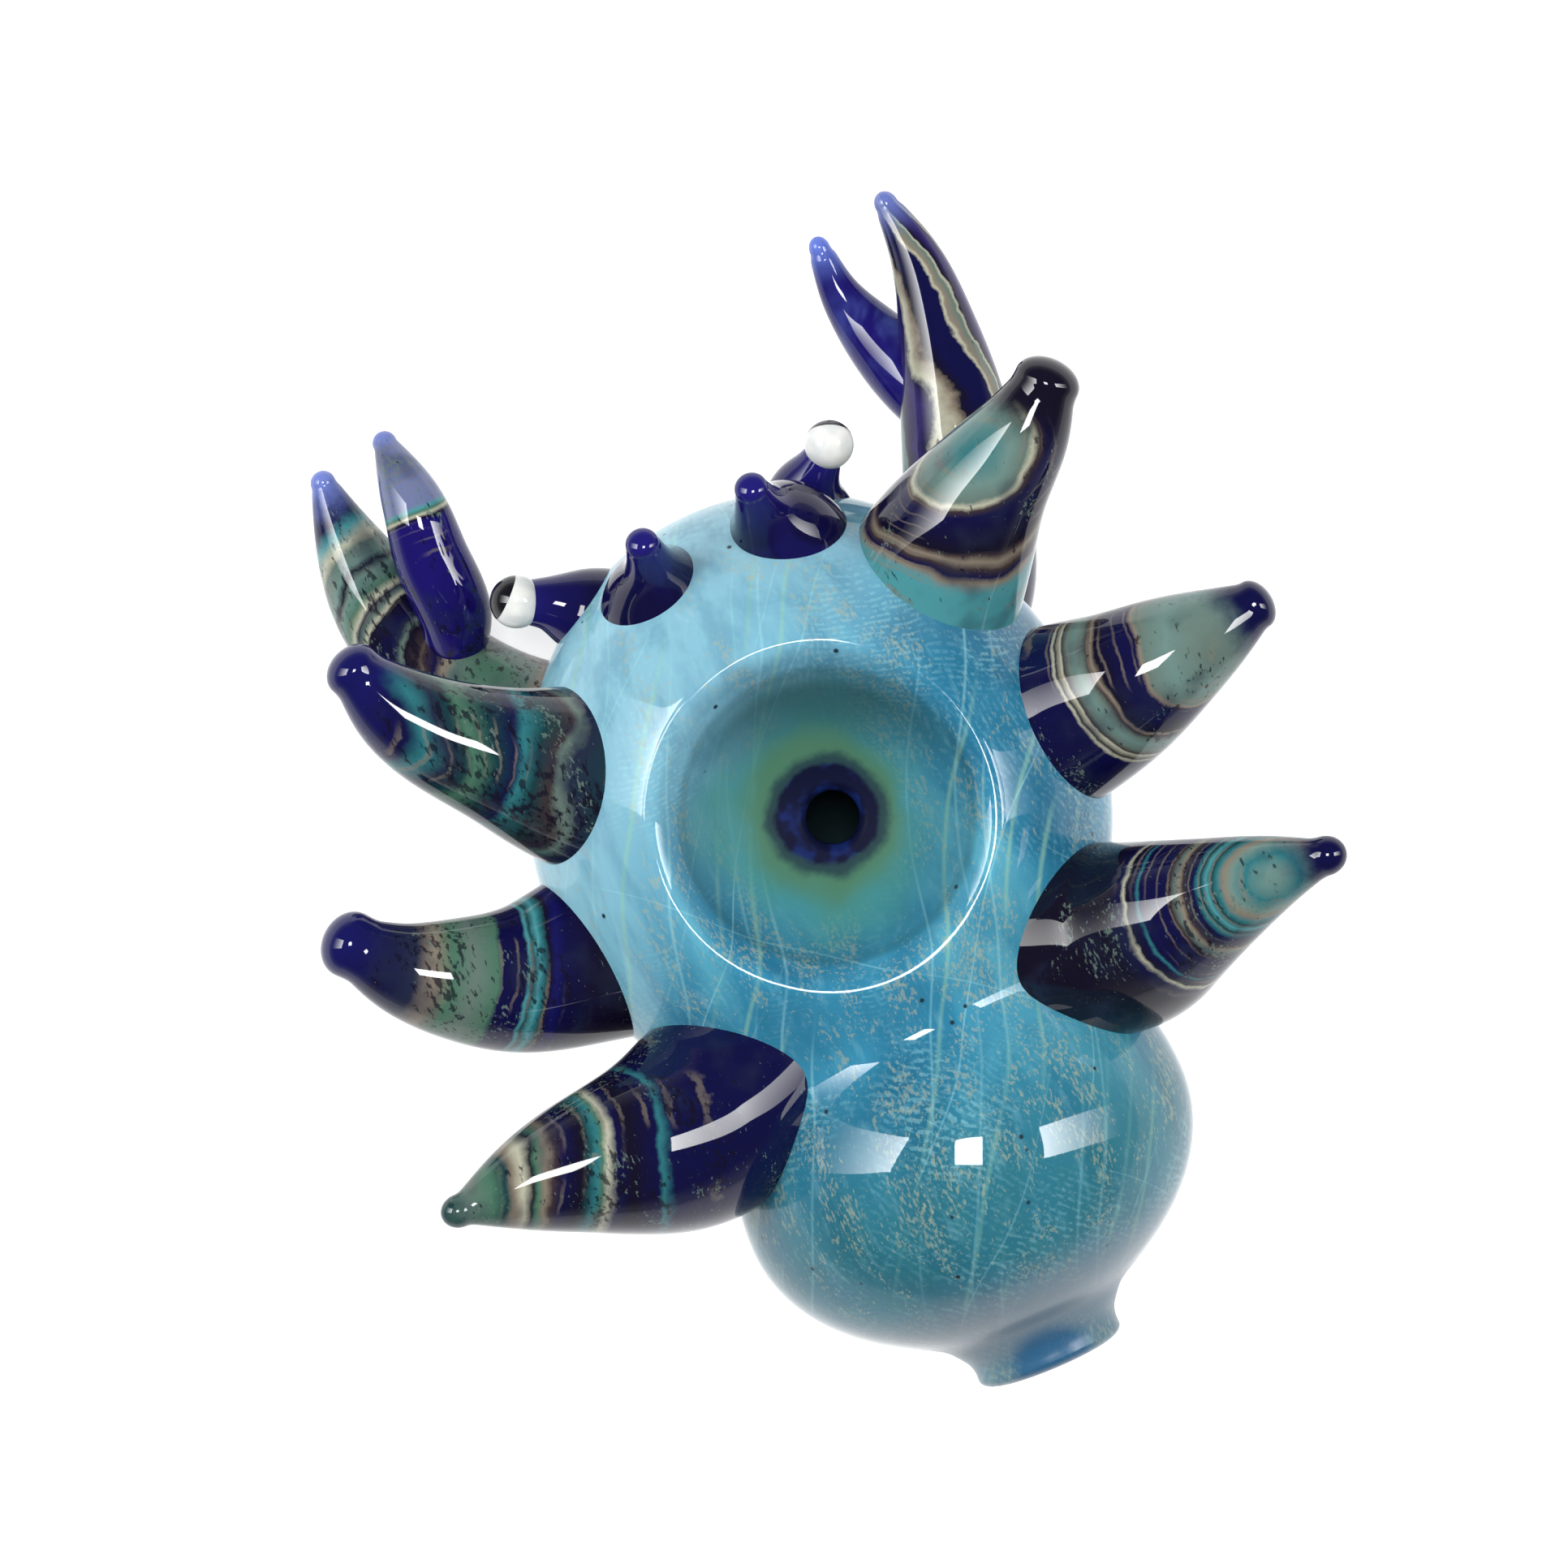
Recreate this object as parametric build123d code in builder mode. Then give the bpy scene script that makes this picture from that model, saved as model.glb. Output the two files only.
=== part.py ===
from build123d import *
import math
import os

# A hand pipe of lampworked glass in the shape of a crab. +Y is the crab's front, +X its
# right side seen from above, +Z up. The origin is the middle of the flat under the belly,
# on the table. Millimetres.

# ---------------------------------------------------------------- driving dimensions
body_height = 21.0            # table to the widest level of the body
wall_side = 3.2               # glass thickness at the sides
wall_top = 3.8                # glass thickness above and below, where the gather is thicker
waist_y = -22.0               # pinch between front chamber and rear bulb
neck_y = -52.5                # where the bulb has drawn down to the neck
lip_y = -56.2                 # where the neck meets the lip
mouth_y = -58.2               # mouth end of the lip
nose_y = 32.7                 # front end of the body
bore_radius = 3.75            # breathing bore of the neck and the lip
lip_radius = 7.5
lip_round = 0.9

dish_radius = 17.2            # joint between the pressed dish and the chamber wall
ring_radius = 4.7             # coloured ring around the draw hole
hole_radius = 2.6             # draw hole in the dish
hole_x = 0.9                  # the hole was punched a little to the right of the middle
hole_y = -0.3

# Body outline: distance along the crab, half width, half height.
body_outline = [
    (neck_y, 10.3, 10.1),
    (-50.4, 13.4, 12.8),
    (-47.5, 17.4, 16.3),
    (-43.0, 21.2, 19.9),
    (-36.5, 23.0, 21.6),
    (-30.0, 22.1, 20.5),
    (-25.5, 20.3, 18.3),
    (waist_y, 19.2, 16.7),
    (-18.0, 22.0, 18.2),
    (-12.0, 25.9, 20.6),
    (-4.0, 28.3, 22.3),
    (4.0, 28.4, 22.4),
    (14.0, 25.8, 20.4),
    (23.0, 20.3, 16.0),
    (28.5, 14.0, 11.1),
    (31.6, 7.4, 5.8),
]
neck_outline = [(neck_y, 10.3, 10.1), (-54.3, 8.5, 8.4), (lip_y, 7.3, 7.3)]
hollow_end = (-49.6, 7.6, 7.2)        # where the hollow starts to draw down to the bore

# Pressed bowl, turned round the middle: distance from it, height over the widest level.
bowl_inside = [(0, 9.9), (8.6, 11.8), (12.8, 15.8), (15.8, 19.9)]
bowl_under = [(dish_radius, 13.4), (13.6, 11.4), (9.4, 8.1), (0, 6.5)]
bowl_top = 24                         # above the shoulder, trimmed to the body
cut_floor = 5                         # the chamber is opened for the bowl from here up

# Centre lines of the drawn-out limbs: x, y, height above the widest level, radius.
legs = {
    "front_left": [
        (-13, 8.5, 3, 10.5), (-22.3, 14.4, 8.5, 8.5), (-26.8, 18.1, 11, 6.7),
        (-30.9, 22, 12.5, 5.5), (-34, 26.4, 14, 4.2), (-35.3, 29.3, 15, 3.0),
    ],
    "front_right": [
        (12, 10, 2, 10.5), (20, 18.1, 8.5, 8.8), (23.6, 21, 11.8, 7.6),
        (27.6, 23.8, 14.6, 6.0), (32.2, 26.8, 17.2, 4.5), (34.6, 28.9, 18.3, 3.4),
    ],
    "middle_left": [
        (-16, -4, -1, 10.5), (-27.3, -3.6, 3, 8.5), (-33, -3, 5, 7.4),
        (-38.6, -0.6, 7.5, 6.1), (-43.6, 3.0, 9.3, 4.4), (-45.6, 5.2, 9.8, 3.4),
    ],
    "middle_right": [
        (16, 0, 1, 10.5), (27.4, 0.2, 8, 8.6), (31.4, 0.5, 10.8, 7.6),
        (36.6, 1.3, 12.8, 6.1), (42.3, 2.1, 14.2, 4.0), (44.8, 2.5, 14.6, 2.9),
    ],
    "rear_left": [
        (-9, -16.5, 3, 8.6), (-23.5, -22.6, 9.5, 9.8), (-29, -22.3, 13.5, 8.3),
        (-34.6, -21.4, 16.3, 6.5), (-40.6, -20.8, 19.0, 4.2), (-44.8, -20.6, 21, 2.0),
    ],
    "rear_right": [
        (10, -17, 3.5, 8.8), (22.8, -21.9, 10.5, 9.2), (26.4, -21.7, 14.2, 8.0),
        (31.9, -21.3, 18.2, 5.7), (37.4, -21.2, 21.6, 3.5), (40.5, -21.4, 23.3, 2.2),
    ],
}
# Gathers on the leg ends: how far they stand out, and their greatest radius.
leg_tips = {
    "front_left": (3.6, 2.8),
    "front_right": (3.7, 3.2),
    "middle_left": (4.6, 3.3),
    "middle_right": (2.9, 2.5),
    "rear_left": (3.2, 1.6),
    "rear_right": (3.6, 1.9),
}
# Claw arms run on into the fixed finger; finger_start is the row where the finger begins.
finger_start = 4
claws = {
    "left": [
        (-12, 12, -5, 8.5), (-20.5, 17.5, -9, 7.4), (-24.7, 21.8, -10.5, 6.3),
        (-28.7, 27.3, -12, 5.7), (-32, 34.1, -12.5, 5.3), (-33, 40.7, -12, 4.4),
        (-33.2, 46.1, -11, 2.8), (-33.1, 49.6, -10.3, 1.6),
    ],
    "right": [
        (11, 9, -5, 8.5), (22.8, 17.2, -9, 7.4), (25.0, 21.4, -10, 6.7),
        (26.9, 27.4, -10, 6.0), (28.9, 35.5, -9.5, 5.0), (30.0, 41.3, -9, 3.9),
        (30.6, 48.6, -8.5, 2.5), (30.1, 53.0, -8.2, 1.5),
    ],
}
free_fingers = {
    "left": [
        (-28, 29.5, -10.5, 3.0), (-25.9, 33.0, -7.6, 3.7), (-25.8, 38.8, -6.5, 3.8),
        (-25.4, 43.0, -5.6, 3.4), (-25.4, 46.9, -6, 2.7), (-25.6, 50.6, -7, 1.5),
    ],
    "right": [
        (27.8, 31, -10.3, 3.2), (26.1, 35.7, -11, 3.7), (24.8, 39.9, -12, 3.7),
        (23.4, 44.1, -12.5, 3.0), (22.4, 48, -12, 2.1), (22.2, 51.7, -11, 1.4),
    ],
}
finger_tip = 2.2              # length of the rounded end of a finger
eye_stalks = {
    "left": [
        (-7, 18, 0, 5.6), (-12.0, 26.4, 1.2, 5.0), (-14.9, 28.7, 2, 3.8),
        (-16.9, 30, 3, 2.6), (-18.2, 30.6, 3.5, 2.25),
    ],
    "right": [
        (6.5, 18, 1, 5.6), (9.9, 26.8, 1.5, 5.3), (11.2, 30.1, 3.2, 3.8),
        (12.8, 31.6, 5.0, 2.4), (13.8, 32.4, 5.95, 1.9),
    ],
}
eye_radius = {"left": 2.6, "right": 2.4}
pupil_facing = {"left": (-0.68, 0.70, 0.22), "right": (0.35, 0.85, -0.4)}
pupil_depth = 0.45            # plane of the pupil, as a part of the eye's radius
brow_nubs = {
    "left": [
        (-6.4, 22.6, 5, 6.9), (-6.0, 26.6, 10.8, 5.1), (-5.8, 28.3, 13.6, 3.0),
        (-5.7, 30.4, 17.4, 1.75),
    ],
    "right": [
        (6.8, 23.4, 5, 7.0), (6.9, 27.5, 11.0, 5.2), (6.2, 29.2, 13.8, 3.1),
        (5.9, 31.2, 17.4, 1.75),
    ],
}
nub_tip = 1.9


os.makedirs("parts", exist_ok=True)


def save(piece, name):
    """Label a finished piece and write it as its own STEP file."""
    piece.part.label = name
    export_step(piece.part, f"parts/{name}.step")


def raised(row):
    """A limb row's centre, measured up from the table."""
    x, y, z, _ = row
    return Vector(x, y, z + body_height)


def cross_plane(rows, i):
    """Plane square to the limb's centre line at row i, with its x direction level."""
    before = raised(rows[max(i - 1, 0)])
    after = raised(rows[min(i + 1, len(rows) - 1)])
    along = (after - before).normalized()
    return Plane(origin=raised(rows[i]), x_dir=Vector(0, 0, 1).cross(along), z_dir=along)


def limb_rings(rows):
    """Round cross-sections of a limb, one for each row."""
    rings = []
    for i, row in enumerate(rows):
        with BuildSketch(cross_plane(rows, i)) as ring:
            Circle(row[3])
        rings.append(ring.sketch)
    return rings


def limb(rings, others, end_plane=None, end_radius=0, end_length=0):
    """A tapering limb through its rings, with a rounded end if it has one, fused onto
    the pieces in others along their surfaces."""
    with BuildPart() as piece:
        loft(sections=rings)
        if end_length:
            gather = gather_section(end_plane, end_radius, end_length, end_radius)
            revolve(gather, axis=Axis(end_plane.origin, end_plane.z_dir))
        for other in others:
            add(other, mode=Mode.SUBTRACT)
    return piece


# Shape of a rounded end: how far out and how far along its fullest point is, as parts of
# the greatest radius and of the length, and how the side leans where it starts.
swollen_end = (1.0, 0.42, 0.6)
slim_end = (0.72, 0.6, 0)


def gather_section(plane, base_radius, length, bulge):
    """Half section of a rounded end: from base_radius at the plane, out to its greatest
    radius and in to a smooth tip on the plane's normal."""
    upright = Plane(origin=plane.origin, x_dir=plane.x_dir, z_dir=plane.x_dir.cross(plane.z_dir))
    with BuildSketch(upright) as section:
        with BuildLine():
            out, far, lean = swollen_end if bulge > base_radius else slim_end
            shoulder = (bulge * out, length * far)
            edge = Spline((base_radius, 0), shoulder, (0, length), tangents=[(lean, 1), (-1, 0)])
            Line(edge @ 1, (0, 0))
            Line((0, 0), edge @ 0)
        make_face()
    return section.sketch


def body_rings(outline):
    """Upright oval cross-sections of the body."""
    rings = []
    for y, half_width, half_height in outline:
        with BuildSketch(Plane(origin=(0, y, body_height), x_dir=(1, 0, 0), z_dir=(0, 1, 0))) as ring:
            Ellipse(half_width, half_height)
        rings.append(ring.sketch)
    return rings


def upper_half_space(height):
    """Keep what is above a level."""
    split(bisect_by=Plane.XY.offset(height), keep=Keep.TOP)


# ---------------------------------------------------------------- body and its hollow
with BuildPart() as body_form:
    loft(sections=body_rings(body_outline) + [Vertex(0, nose_y, body_height)])
    upper_half_space(0)

hollow_outline = []
for y, half_width, half_height in body_outline[1:]:
    inner_y = y * (nose_y - wall_side) / nose_y if y > 0 else y
    hollow_outline.append((inner_y, half_width - wall_side, half_height - wall_top))
hollow_outline[0] = hollow_end
hollow_outline.insert(0, (neck_y, bore_radius, bore_radius))
with BuildPart() as hollow_form:
    loft(sections=body_rings(hollow_outline) + [Vertex(0, nose_y - wall_side, body_height)])

waist = Plane(origin=(0, waist_y, body_height), x_dir=(1, 0, 0), z_dir=(0, 1, 0))

with BuildPart() as chamber_shell:
    add(body_form.part)
    add(hollow_form.part, mode=Mode.SUBTRACT)
    split(bisect_by=waist, keep=Keep.TOP)
    with BuildSketch(Plane.XY.offset(body_height + cut_floor)):
        Circle(dish_radius)
    extrude(amount=body_height, mode=Mode.SUBTRACT)
save(chamber_shell, "chamber_shell")

with BuildPart() as rear_bulb:
    add(body_form.part)
    add(hollow_form.part, mode=Mode.SUBTRACT)
    split(bisect_by=waist, keep=Keep.BOTTOM)
save(rear_bulb, "rear_bulb")

# ---------------------------------------------------------------- neck and mouthpiece
with BuildPart() as neck_tube:
    loft(sections=body_rings(neck_outline))
    with BuildSketch(Plane(origin=(0, lip_y, body_height), x_dir=(1, 0, 0), z_dir=(0, 1, 0))):
        Circle(bore_radius)
    extrude(amount=neck_y - lip_y, mode=Mode.SUBTRACT)
save(neck_tube, "neck_tube")

with BuildPart() as mouthpiece_lip:
    with BuildSketch(Plane(origin=(0, mouth_y, body_height), x_dir=(1, 0, 0), z_dir=(0, 1, 0))):
        Circle(lip_radius)
        Circle(bore_radius, mode=Mode.SUBTRACT)
    extrude(amount=lip_y - mouth_y)
    outer_edges = mouthpiece_lip.edges().filter_by(GeomType.CIRCLE).group_by(SortBy.RADIUS)[-1]
    fillet(outer_edges, radius=lip_round)
save(mouthpiece_lip, "mouthpiece_lip")

# ---------------------------------------------------------------- pressed bowl
hole_plane = Plane(origin=(hole_x, hole_y, 0))

with BuildPart() as bowl_form:
    with BuildSketch(Plane.XZ):
        with BuildLine():
            inside = Spline(
                [(r, body_height + z) for r, z in bowl_inside], tangents=[(1, 0), (1, 1.1)]
            )
            rim = Line(inside @ 1, (dish_radius, body_height + bowl_top))
            under = Spline(
                [(r, body_height + z) for r, z in bowl_under], tangents=[(-1, -0.1), (-1, 0)]
            )
            Line(rim @ 1, under @ 0)
            Line(under @ 1, inside @ 0)
        make_face()
    revolve(axis=Axis.Z)
    add(body_form.part, mode=Mode.INTERSECT)

with BuildPart() as bowl_hole_ring:
    add(bowl_form.part)
    with BuildSketch(hole_plane):
        Circle(ring_radius)
        Circle(hole_radius, mode=Mode.SUBTRACT)
    extrude(amount=3 * body_height, mode=Mode.INTERSECT)
save(bowl_hole_ring, "bowl_hole_ring")

with BuildPart() as bowl_dish:
    add(bowl_form.part)
    with BuildSketch(hole_plane):
        Circle(ring_radius)
    extrude(amount=3 * body_height, mode=Mode.SUBTRACT)
save(bowl_dish, "bowl_dish")

# ---------------------------------------------------------------- legs and their tips
made = {}
for name, rows in legs.items():
    others = [body_form.part] + list(made.values())
    leg = limb(limb_rings(rows), others)
    save(leg, f"leg_{name}")
    made[name] = leg.part

    end_plane = cross_plane(rows, len(rows) - 1)
    tip_length, tip_bulge = leg_tips[name]
    with BuildPart() as leg_tip:
        gather = gather_section(end_plane, rows[-1][3], tip_length, tip_bulge)
        revolve(gather, axis=Axis(end_plane.origin, end_plane.z_dir))
    save(leg_tip, f"leg_tip_{name}")

# ---------------------------------------------------------------- claws
for side, rows in claws.items():
    rings = limb_rings(rows)
    arm = limb(rings[:finger_start + 1], [body_form.part, made[f"front_{side}"]])
    save(arm, f"claw_arm_{side}")

    end = len(rows) - 1
    fixed = limb(rings[finger_start:], [], cross_plane(rows, end), rows[end][3], finger_tip)
    save(fixed, f"claw_fixed_finger_{side}")

    rows = free_fingers[side]
    end = len(rows) - 1
    free = limb(limb_rings(rows), [arm.part, fixed.part], cross_plane(rows, end), rows[end][3], finger_tip)
    save(free, f"claw_free_finger_{side}")
    made[f"arm_{side}"] = arm.part

# ---------------------------------------------------------------- brow nubs
for side, rows in brow_nubs.items():
    end = len(rows) - 1
    others = [body_form.part] + ([made["nub_left"]] if side == "right" else [])
    nub = limb(limb_rings(rows), others, cross_plane(rows, end), rows[end][3], nub_tip)
    save(nub, f"brow_nub_{side}")
    made[f"nub_{side}"] = nub.part

# ---------------------------------------------------------------- eyes
for side, rows in eye_stalks.items():
    others = [body_form.part, made[f"nub_{side}"], made[f"arm_{side}"], made[f"front_{side}"]]
    stalk = limb(limb_rings(rows), others)
    save(stalk, f"eye_stalk_{side}")

    stalk_end = cross_plane(rows, len(rows) - 1)
    radius = eye_radius[side]
    reach = math.sqrt(radius ** 2 - rows[-1][3] ** 2)
    centre = stalk_end.origin + stalk_end.z_dir * reach
    facing = Vector(*pupil_facing[side]).normalized()
    pupil_plane = Plane(origin=centre + facing * radius * pupil_depth, z_dir=facing)

    with BuildPart(Plane(origin=centre, z_dir=facing)) as eye_ball:
        Sphere(radius)
        with BuildSketch(stalk_end):
            Circle(2 * radius)
        extrude(amount=-2 * radius, mode=Mode.SUBTRACT)
        with BuildSketch(pupil_plane):
            Circle(2 * radius)
        extrude(amount=2 * radius, mode=Mode.SUBTRACT)
    save(eye_ball, f"eye_ball_{side}")

    with BuildPart(Plane(origin=centre, z_dir=facing)) as eye_pupil:
        Sphere(radius)
        with BuildSketch(pupil_plane):
            Circle(2 * radius)
        extrude(amount=2 * radius, mode=Mode.INTERSECT)
    save(eye_pupil, f"eye_pupil_{side}")
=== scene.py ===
import math
import bpy
import numpy as np
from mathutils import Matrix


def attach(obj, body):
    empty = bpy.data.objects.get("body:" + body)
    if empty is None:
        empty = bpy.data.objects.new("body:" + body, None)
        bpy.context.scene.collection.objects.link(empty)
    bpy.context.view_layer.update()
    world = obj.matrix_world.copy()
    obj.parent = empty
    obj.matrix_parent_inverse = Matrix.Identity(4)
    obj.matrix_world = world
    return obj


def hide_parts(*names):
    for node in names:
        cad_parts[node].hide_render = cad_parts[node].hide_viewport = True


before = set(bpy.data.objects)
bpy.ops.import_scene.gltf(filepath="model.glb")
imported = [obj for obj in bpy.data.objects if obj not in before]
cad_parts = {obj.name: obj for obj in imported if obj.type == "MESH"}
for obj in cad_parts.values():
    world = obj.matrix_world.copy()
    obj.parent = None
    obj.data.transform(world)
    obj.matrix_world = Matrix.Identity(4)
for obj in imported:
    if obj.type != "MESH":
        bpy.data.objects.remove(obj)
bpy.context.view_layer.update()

mm = 0.001
restLevel = 21 * mm          # widest level of the body above the table


def smoothStep(low, high, x):
    # 0 below low, 1 above high, 3t^2 - 2t^3 between
    t = np.clip((x - low) / (high - low), 0, 1)
    return t * t * (3 - 2 * t)


def splineThrough(knots, values, where):
    # natural cubic through the knots: second derivatives from one tridiagonal solve
    knots, values = np.asarray(knots, float), np.asarray(values, float)
    if values.ndim == 1:
        return splineThrough(knots, values[:, None], where)[:, 0]
    count, gap = len(knots), np.diff(knots)
    system, right = np.eye(count), np.zeros_like(values)
    rise = np.diff(values, axis=0) / gap[:, None]
    inner = np.arange(1, count - 1)
    system[inner, inner - 1], system[inner, inner + 1] = gap[:-1], gap[1:]
    system[inner, inner] = 2 * (gap[:-1] + gap[1:])
    right[1:-1] = 6 * (rise[1:] - rise[:-1])
    bend = np.linalg.solve(system, right)
    span = np.clip(np.searchsorted(knots, where) - 1, 0, count - 2)
    before = (where - knots[span])[:, None]
    after = (knots[span + 1] - where)[:, None]
    width = gap[span][:, None]
    return (bend[span] * after ** 3 + bend[span + 1] * before ** 3) / (6 * width) \
        + (values[span] / width - bend[span] * width / 6) * after \
        + (values[span + 1] / width - bend[span + 1] * width / 6) * before


def unit(vectors):
    return vectors / np.maximum(np.linalg.norm(vectors, axis=-1, keepdims=True), 1e-15)


def ringQuads(rows, ring):
    # row, column and four corners of every quad between neighbouring closed rings
    r, c = np.meshgrid(np.arange(rows - 1), np.arange(ring), indexing="ij")
    after = (c + 1) % ring
    return r, c, np.stack([r * ring + c, r * ring + after, (r + 1) * ring + after, (r + 1) * ring + c], -1)


def patchPiece(name, patches):
    # each patch is rows of closed rings joined by quads, with its own normals, so corners
    # between patches stay crisp; a row drawn together to one point is closed with triangles
    verts, faces, cornerNormals, cornerUv, total = [], [], [], [], 0
    for patch in patches:
        points, flat = patch["points"], patch["normals"].reshape(-1, 3)
        rows, ring = points.shape[:2]
        r, c, quads = ringQuads(rows, ring)
        along = patch.get("along", np.zeros(rows))
        uv = np.stack([np.stack([c, c + 1, c + 1, c], -1) / ring,
                       along[np.stack([r, r, r + 1, r + 1], -1)]], -1)
        closed = np.ptp(points, axis=1).max(axis=1) < 1e-9
        for row in np.flatnonzero(closed[:-1] | closed[1:]):
            pick = [0, 2, 3] if closed[row] else [0, 1, 2]
            tris = quads[row][:, pick].copy()
            tris[:, 0 if closed[row] else 2] = (row if closed[row] else row + 1) * ring
            faces.append(tris + total)
            cornerNormals.append(flat[tris].reshape(-1, 3))
            cornerUv.append(uv[row][:, pick].reshape(-1, 2))
        whole = ~closed[:-1] & ~closed[1:]
        faces.append(quads[whole].reshape(-1, 4) + total)
        cornerNormals.append(flat[quads[whole]].reshape(-1, 3))
        cornerUv.append(uv[whole].reshape(-1, 2))
        verts.append(points.reshape(-1, 3))
        total += rows * ring
    return meshPiece(name, np.concatenate(verts), faces, cornerNormals, cornerUv)


def addObject(name, data):
    made = bpy.data.objects.new(name, data)
    bpy.context.scene.collection.objects.link(made)
    return made


def meshPiece(name, points, faces, cornerNormals, cornerUv=None):
    # points no face uses are left out; every face corner has its own normal
    used = np.unique(np.concatenate([group.ravel() for group in faces]))
    packed = np.full(len(points), -1)
    packed[used] = np.arange(len(used))
    mesh = bpy.data.meshes.new(name)
    mesh.from_pydata(points[used], [], [face for group in faces for face in packed[group].tolist()])
    if cornerUv is not None:
        layer = mesh.uv_layers.new(name="along")
        layer.data.foreach_set("uv", np.concatenate(cornerUv).astype(np.float32).ravel())
    mesh.polygons.foreach_set("use_smooth", np.ones(len(mesh.polygons), bool))
    mesh.normals_split_custom_set(np.concatenate(cornerNormals))
    return addObject(name, mesh)


def flatPatch(first, second, along=0.0):
    # a flat or conical strip between two rings, or a cap where the second is one point
    points = np.stack([first, np.broadcast_to(second, first.shape)])
    normal = unit(np.cross(np.roll(first, -1, axis=0) - first, points[1] - first))
    return dict(points=points, normals=np.stack([normal, normal]), along=np.full(2, along))


def settle(piece, material, slotName, *nodes):
    # every piece rides on the one body, takes its material and stands for its CAD nodes; slotName is not
    # used
    piece.data.materials.append(material)
    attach(piece, "root")
    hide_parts(*nodes)
    return piece


def addNode(tree, kind, inputs=None, **settings):
    # a node with its settings and input values; an input given as a socket is linked
    node = tree.nodes.new(kind)
    for key, value in settings.items():
        setattr(node, key, value)
    for key, value in (inputs or {}).items():
        if isinstance(value, bpy.types.NodeSocket):
            tree.links.new(value, node.inputs[key])
        else:
            node.inputs[key].default_value = value
    return node


def axesOf(tree, vector):
    return addNode(tree, "ShaderNodeSeparateXYZ", {0: vector}).outputs


def mathOf(tree, operation, first, second=0.0, third=0.0):
    return addNode(tree, "ShaderNodeMath", {0: first, 1: second, 2: third}, operation=operation).outputs[0]


def timesOf(tree, first, second):
    return mathOf(tree, "MULTIPLY", first, second)


def sumOf(tree, first, second):
    return mathOf(tree, "ADD", first, second)


def vectorOf(tree, operation, first, second=(0, 0, 0), **extra):
    inputs = {0: first, 1: second, **extra}
    return addNode(tree, "ShaderNodeVectorMath", inputs, operation=operation).outputs[0]


def distanceOf(tree, first, second=(0, 0, 0)):
    return addNode(tree, "ShaderNodeVectorMath", {0: first, 1: second}, operation="DISTANCE").outputs[1]


def mixOf(tree, factor, first, second):
    node = addNode(tree, "ShaderNodeMix", {0: factor}, data_type="RGBA")
    for index, value in ((6, first), (7, second)):
        if isinstance(value, bpy.types.NodeSocket):
            tree.links.new(value, node.inputs[index])
        else:
            node.inputs[index].default_value = (*value, 1)
    return node.outputs[2]


def rangeOf(tree, value, low, high, toLow=0.0, toHigh=1.0):
    # soft step between low and high
    inputs = {0: value, 1: low, 2: high, 3: toLow, 4: toHigh}
    return addNode(tree, "ShaderNodeMapRange", inputs, interpolation_type="SMOOTHSTEP").outputs[0]


def noiseOf(tree, vector, scale, detail=2.0, roughness=0.5, distortion=0.0):
    inputs = {"Vector": vector, "Scale": scale, "Detail": detail, "Roughness": roughness,
              "Distortion": distortion}
    return addNode(tree, "ShaderNodeTexNoise", inputs).outputs["Fac"]


def stretchOf(tree, vector, scale, turn=0.0, place=(0, 0, 0)):
    inputs = {"Vector": vector, "Location": place, "Rotation": (0, 0, turn), "Scale": scale}
    return addNode(tree, "ShaderNodeMapping", inputs).outputs[0]


def rampOf(tree, factor, stops):
    node = addNode(tree, "ShaderNodeValToRGB", {0: factor})
    elements = node.color_ramp.elements
    while len(elements) < len(stops):
        elements.new(0.5)
    for element, (place, colour) in zip(elements, stops):
        element.position = place
        element.color = (*colour, 1)
    return node.outputs[0]


cameraSet = dict(x=-2.2, y=4.5, height=480, turn=-23.0, frameWidth=154.6)


def makeCamera():
    # straight above, turned so that the mouthpiece points down and to the right
    data = bpy.data.cameras.new("camera")
    data.sensor_width = 36
    data.lens = 36 * cameraSet["height"] / cameraSet["frameWidth"]
    data.clip_start, data.clip_end = 0.01, 10
    camera = addObject("camera", data)
    camera.location = (cameraSet["x"] * mm, cameraSet["y"] * mm, cameraSet["height"] * mm + restLevel)
    camera.rotation_euler = (0, 0, math.radians(cameraSet["turn"]))
    bpy.context.scene.camera = camera


def makeFloor():
    size = 3.0
    mesh = bpy.data.meshes.new("floor")
    corners = [(-size, -size, 0), (size, -size, 0), (size, size, 0), (-size, size, 0)]
    mesh.from_pydata(corners, [], [(0, 1, 2, 3)])
    material = bpy.data.materials.new("floorPaper")
    material.use_nodes = True
    surface = material.node_tree.nodes["Principled BSDF"]
    for key, value in (("Base Color", (0.45, 0.45, 0.45, 1)), ("Roughness", 0.8),
                       ("Emission Color", (1, 1, 1, 1)), ("Emission Strength", 0.74)):
        surface.inputs[key].default_value = value
    mesh.materials.append(material)
    addObject("floor", mesh)


def makeLight(name, place, aim, size, power, fade=(1.0, 1.0)):
    # a soft box at place, facing aim; fade is its brightness at the low and the high edge
    data = bpy.data.lights.new(name, "AREA")
    data.shape = "RECTANGLE"
    data.size, data.size_y = size
    data.energy = power
    data.use_nodes = True
    tree = data.node_tree
    across = axesOf(tree, addNode(tree, "ShaderNodeNewGeometry").outputs["Parametric"])
    level = addNode(tree, "ShaderNodeMapRange", {0: across[1], 3: fade[0], 4: fade[1]}).outputs[0]
    tree.links.new(mathOf(tree, "POWER", level, 1.8), tree.nodes["Emission"].inputs["Strength"])
    light = addObject(name, data)
    light.location = place
    way = np.array(aim) - np.array(place)
    tilt = math.atan2(math.hypot(way[0], way[1]), -way[2])
    light.rotation_euler = (tilt, 0, math.atan2(-way[0], way[1]))


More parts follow.
